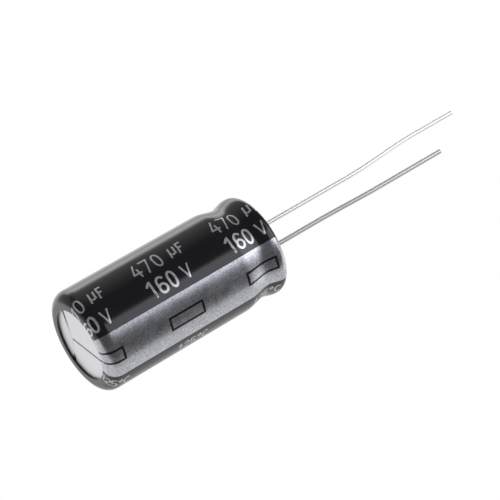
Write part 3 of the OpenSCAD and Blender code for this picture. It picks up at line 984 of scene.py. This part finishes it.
def score_shade(tree, place):
    """A mask of painted shade along the three lines, darkest towards the rim."""
    spot = tree.vector("SUBTRACT", place, (VENT[0], VENT[1], 0.0))
    total = 0.0
    for turn, start, full, half, dark in SCORES:
        turn = math.radians(turn)
        along = tree.vector("DOT_PRODUCT", spot, (math.cos(turn), math.sin(turn), 0.0))
        across = tree.vector("DOT_PRODUCT", spot, (-math.sin(turn), math.cos(turn), 0.0))
        near = to_range(tree, tree.math("ABSOLUTE", across), dark, 0.0, FULL_SHARE * half, half)
        line = tree.math("MULTIPLY", near, to_range(tree, along, 0.0, 1.0, start, full))
        total = tree.math("MAXIMUM", total, line)
    return total


# %% Can material
# The colour of the shade painted into the scored lines.
PAINTED_SCORE_SHADE = (0.05, 0.05, 0.055)
FACE_DEPTH = 0.12 * MM


def can_material():
    material, tree, shader, place = shade_tree("satin_aluminium", (0.82, 0.82, 0.86),
                                              roughness=0.38, metallic=0.42)
    grain = use_group(tree, GRAIN, Place=place, Coarse=500.0, Fine=9000.0)
    height = tree.add("ShaderNodeSeparateXYZ", Vector=place).outputs["Z"]
    closed_end = tree.math("LESS_THAN", height, FACE_Z + FACE_DEPTH)
    shade = tree.math("MULTIPLY", score_shade(tree, place), closed_end)
    clean = two_tone(tree, grain["Mask"], (0.80, 0.79, 0.84), (0.85, 0.85, 0.89))
    tree.plug(shader.inputs["Base Color"], two_tone(tree, shade, clean, PAINTED_SCORE_SHADE))
    roughen(tree, shader, grain["Mask"], low=0.34, high=0.44)
    bump(tree, shader, grain["Height"], depth=0.001 * MM)
    return material


dress(nodes["can"], can_material())

# %% Rubber, foil, paper, tape and tabs
SPECKLE_SWING = 0.06


def speckled(name, dark, pale, roughness, metallic, coarse, fine, relief):
    """A material with a grain in its colour, its gloss and its relief."""
    material, tree, shader, place = shade_tree(name, pale, roughness, metallic)
    grain = use_group(tree, GRAIN, Place=place, Coarse=coarse, Fine=fine)
    tree.plug(shader.inputs["Base Color"], two_tone(tree, grain["Mask"], dark, pale))
    roughen(tree, shader, grain["Mask"], low=roughness - SPECKLE_SWING,
            high=roughness + SPECKLE_SWING)
    bump(tree, shader, grain["Height"], depth=relief)
    return material


RUBBER = speckled("seal_rubber", (0.013, 0.013, 0.013), (0.042, 0.041, 0.039),
                  roughness=0.60, metallic=0.0, coarse=900.0, fine=5000.0, relief=0.03 * MM)
ETCHED = speckled("etched_foil", (0.33, 0.33, 0.34), (0.50, 0.50, 0.51),
                  roughness=0.62, metallic=0.9, coarse=900.0, fine=12000.0, relief=0.004 * MM)
BRIGHT_FOIL = speckled("plain_foil", (0.62, 0.62, 0.63), (0.78, 0.78, 0.79),
                       roughness=0.38, metallic=1.0, coarse=900.0, fine=9000.0,
                       relief=0.002 * MM)
PAPER = speckled("soaked_paper", (0.56, 0.45, 0.28), (0.78, 0.68, 0.50),
                 roughness=0.7, metallic=0.0, coarse=600.0, fine=5000.0, relief=0.008 * MM)
TAPE = speckled("amber_tape", (0.50, 0.34, 0.10), (0.68, 0.50, 0.20),
                roughness=0.28, metallic=0.0, coarse=300.0, fine=3000.0, relief=0.002 * MM)
TAB = speckled("tab_metal", (0.70, 0.70, 0.71), (0.84, 0.84, 0.85),
               roughness=0.34, metallic=1.0, coarse=800.0, fine=8000.0, relief=0.002 * MM)

FINISHES = {"rubber_seal": RUBBER, "anode_foil": ETCHED, "cathode_foil": BRIGHT_FOIL,
            "separator_inner": PAPER, "separator_outer": PAPER, "element_tape": TAPE,
            "anode_tab": TAB, "cathode_tab": TAB}
for node, finish in FINISHES.items():
    dress(nodes[node], finish)
print("dressed:", ", ".join(FINISHES))

# %% [markdown]
# ## Light
#
# Nearly all that the eye sees on a glossy black can is a picture of the room, so the lamps are
# placed by what they have to draw. A small function puts a soft box in a given direction from
# the can, by its turn about the axis and its height above the level, with its size told as
# the angle that it fills. Its brightness is that of its own surface, where 1 is white.
#
# The edge box stands behind the can and draws the thin line of light along its far edge. The
# other three stand above the camera. The tall box draws the bright band along the side, the wide
# box gives that band a fainter border, and the top box lights the groove of the bead and the
# curled rim. All of them shine on the wires too.

# %% Soft boxes
CENTRE = Vector((0, 0, (FACE_Z + TOP_Z) / 2))


def direction(turn, rise):
    """The way from the can at a turn about its axis and a rise above the level, in degrees."""
    turn, rise = math.radians(turn), math.radians(rise)
    level = math.cos(rise)
    return Vector((level * math.cos(turn), level * math.sin(turn), math.sin(rise)))


def soft_box(name, turn, rise, wide, tall, distance, brightness, colour=(1, 1, 1)):
    """An area lamp that fills wide x tall degrees as seen from the can."""
    data = bpy.data.lights.new(name, "AREA")
    data.shape = "RECTANGLE"
    data.size = 2 * distance * math.tan(math.radians(wide / 2))
    data.size_y = 2 * distance * math.tan(math.radians(tall / 2))
    data.energy = brightness * math.pi * data.size * data.size_y
    data.color = colour
    toward = direction(turn, rise)
    lamp = link(bpy.data.objects.new(name, data))
    lamp.visible_camera = False
    lamp.matrix_world = (Matrix.Translation(CENTRE + toward * distance)
                         @ toward.to_track_quat("Z", "Y").to_matrix().to_4x4())
    print(f"{name}: {data.size:.3f} x {data.size_y:.3f} m, {data.energy:.3f} W")


COOL = (0.97, 0.98, 1.05)
soft_box("edge_box", turn=20.5, rise=27, wide=14, tall=66, distance=0.4, brightness=1.1)
soft_box("tall_box", turn=147.5, rise=43, wide=24, tall=58, distance=0.16, brightness=1.3,
         colour=COOL)
soft_box("wide_box", turn=147.5, rise=43, wide=32, tall=60, distance=0.165, brightness=0.5,
         colour=COOL)
soft_box("top_box", turn=146, rise=49, wide=48, tall=18, distance=0.17, brightness=1.15,
         colour=COOL)

# %% [markdown]
# The room itself is a world with three answers. The camera sees white paper all round. Gloss
# sees the same white paper behind the can, which fades to grey on one side and lies in shade low
# on that side, a soft fill from high up and a dim room on the camera's side, as in a real studio.
# Everything else gets plain soft light from all sides.

# %% World
# Each range says where an effect starts and is full. It is told as the cosine of the angle to
# the effect's own direction, so a larger number is nearer to it.
PAPER_WAY = direction(306, 0)
PAPER_RANGE = (0.03, 0.17)
PAPER_LIGHT = 0.84
ROOM_LIGHT = 0.05
GLOW_WAY = direction(20, 0)
GLOW_RANGE = (0.38, 0.98)
GLOW_LIGHT = 0.55
FILL_WAY = direction(226, 58)
FILL_RANGE = (0.90, 0.99)
FILL_LIGHT = 0.8
SHADE_WAY = direction(20, -35)
SHADE_RANGE = (0.76, 0.90)
SHADE_LEFT = 0.35
SOFT_LIGHT = 0.75
WHITE = 1.0


def studio_world():
    world = bpy.data.worlds.new("studio")
    world.use_nodes = True
    tree = Tree(world.node_tree)
    shine = world.node_tree.nodes["Background"]
    way = tree.add("ShaderNodeTexCoord").outputs["Generated"]

    def facing(middle, limits, low, high):
        """A value that goes from low to high as the way turns towards middle."""
        side = tree.vector("DOT_PRODUCT", way, tuple(middle))
        return to_range(tree, side, low, high, *limits)

    paper = facing(PAPER_WAY, PAPER_RANGE, ROOM_LIGHT, PAPER_LIGHT)
    glow = facing(GLOW_WAY, GLOW_RANGE, 0.0, GLOW_LIGHT)
    fill = facing(FILL_WAY, FILL_RANGE, 0.0, FILL_LIGHT)
    shade = facing(SHADE_WAY, SHADE_RANGE, 1.0, SHADE_LEFT)
    in_room = tree.math("ADD", tree.math("ADD", paper, glow), fill)
    in_room = tree.math("MULTIPLY", in_room, shade)
    path = tree.add("ShaderNodeLightPath").outputs
    in_gloss = tree.math("MAXIMUM", path["Is Glossy Ray"], path["Is Transmission Ray"])
    lit = two_values(tree, in_gloss, SOFT_LIGHT, in_room)
    tree.plug(shine.inputs["Strength"], two_values(tree, path["Is Camera Ray"], lit, WHITE))
    shine.inputs["Color"].default_value = (1, 1, 1, 1)
    return world


bpy.context.scene.world = studio_world()
bpy.context.scene.view_settings.view_transform = "Standard"

# %% [markdown]
# The capacitor stands on a pale floor. The photograph's camera looks up at the closed end from
# below that floor, so the floor shows only its upper side, and only to a camera. Light passes
# it, and what stands on it still casts its shadow there.

# %% Floor
FLOOR_HALF = 1.2


def floor_material():
    material, tree, shader, _ = shade_tree("pale_floor", (0.82, 0.82, 0.82), roughness=0.9)
    path = tree.add("ShaderNodeLightPath").outputs["Is Camera Ray"]
    behind = tree.add("ShaderNodeNewGeometry").outputs["Backfacing"]
    shows = tree.math("MULTIPLY", path, tree.math("SUBTRACT", 1.0, behind))
    clear = tree.add("ShaderNodeBsdfTransparent")
    mixed = tree.add("ShaderNodeMixShader")
    tree.plug(mixed.inputs[0], shows)
    tree.plug(mixed.inputs[1], clear.outputs[0])
    tree.plug(mixed.inputs[2], shader.outputs[0])
    tree.plug(tree.tree.nodes["Material Output"].inputs["Surface"], mixed.outputs[0])
    return material


corners = [(-FLOOR_HALF, -FLOOR_HALF, 0), (FLOOR_HALF, -FLOOR_HALF, 0),
           (FLOOR_HALF, FLOOR_HALF, 0), (-FLOOR_HALF, FLOOR_HALF, 0)]
floor = mesh_object("floor", corners, [(0, 1, 2, 3)])
floor.data.materials.append(floor_material())
